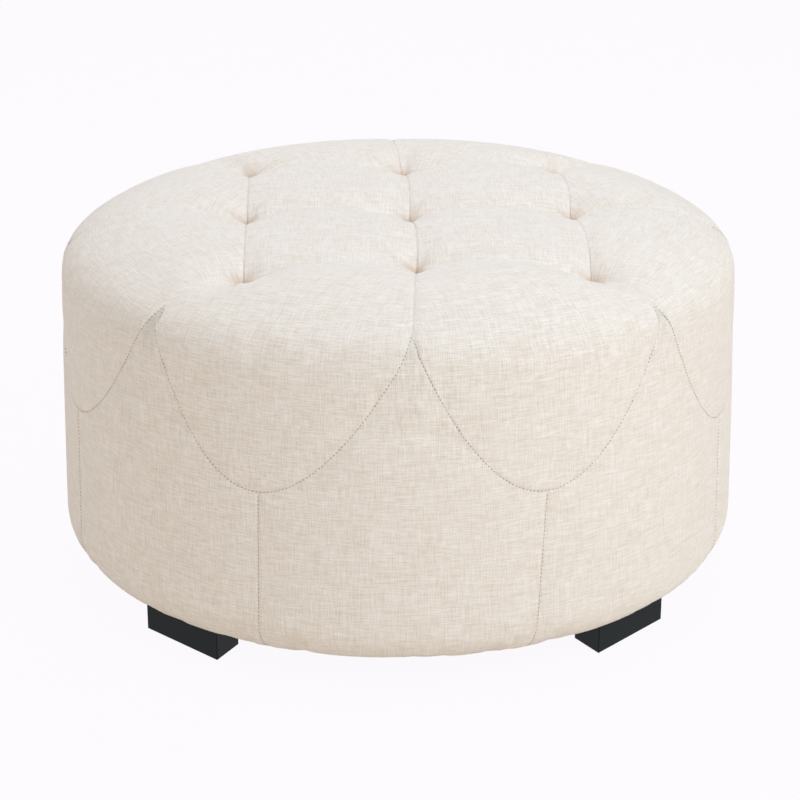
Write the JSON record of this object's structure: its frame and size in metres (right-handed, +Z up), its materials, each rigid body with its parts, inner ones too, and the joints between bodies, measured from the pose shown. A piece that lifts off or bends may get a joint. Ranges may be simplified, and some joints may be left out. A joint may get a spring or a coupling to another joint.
{
  "type": "round tufted ottoman coffee table",
  "caption": "Round drum ottoman used as a coffee table: deep buttonless tufted top, petal-shaped crown panels, sewn side panels and low block feet.",
  "frame": {"origin": "on the floor under the centre of the drum", "axes": "+Z up, the seam between the two front petals faces -Y, +X to the right"},
  "size_m": [0.82, 0.82, 0.45],
  "materials": {
    "linen_cover": "woven slub linen, matt",
    "fibre_fill": "loose white fibre",
    "foam": "cut foam",
    "plywood": "sanded, unfinished",
    "pine": "sawn, unfinished",
    "hardboard": "smooth pressed board",
    "dust_cloth": "thin spunbond cloth",
    "twine": "waxed twine",
    "zinc_steel": "zinc plated",
    "black_foot": "black satin lacquer"
  },
  "bodies": {
    "root": {"base_board": "plywood", "deck": "plywood", "dust_cover": "dust_cloth", "foot_back_left": "black_foot", "foot_back_right": "black_foot", "foot_front_left": "black_foot", "foot_front_right": "black_foot", "foot_screws": "zinc_steel", "frame_screws": "zinc_steel", "petal_back_left": "linen_cover", "petal_back_right": "linen_cover", "petal_fill": "fibre_fill", "petal_front_left": "linen_cover", "petal_front_right": "linen_cover", "petal_left_back": "linen_cover", "petal_left_front": "linen_cover", "petal_right_back": "linen_cover", "petal_right_front": "linen_cover", "post_back_left": "pine", "post_back_right": "pine", "post_front_left": "pine", "post_front_right": "pine", "seat_foam": "foam", "side_board_back": "hardboard", "side_board_front": "hardboard", "side_board_left": "hardboard", "side_board_right": "hardboard", "side_foam": "foam", "side_panel_back": "linen_cover", "side_panel_back_left": "linen_cover", "side_panel_back_right": "linen_cover", "side_panel_front": "linen_cover", "side_panel_front_left": "linen_cover", "side_panel_front_right": "linen_cover", "side_panel_left": "linen_cover", "side_panel_right": "linen_cover", "top_fill": "fibre_fill", "top_panel_back_left": "linen_cover", "top_panel_back_right": "linen_cover", "top_panel_front_left": "linen_cover", "top_panel_front_right": "linen_cover", "tuft_cords": "twine", "tuft_pads": "hardboard"}
  },
  "joints": []
}
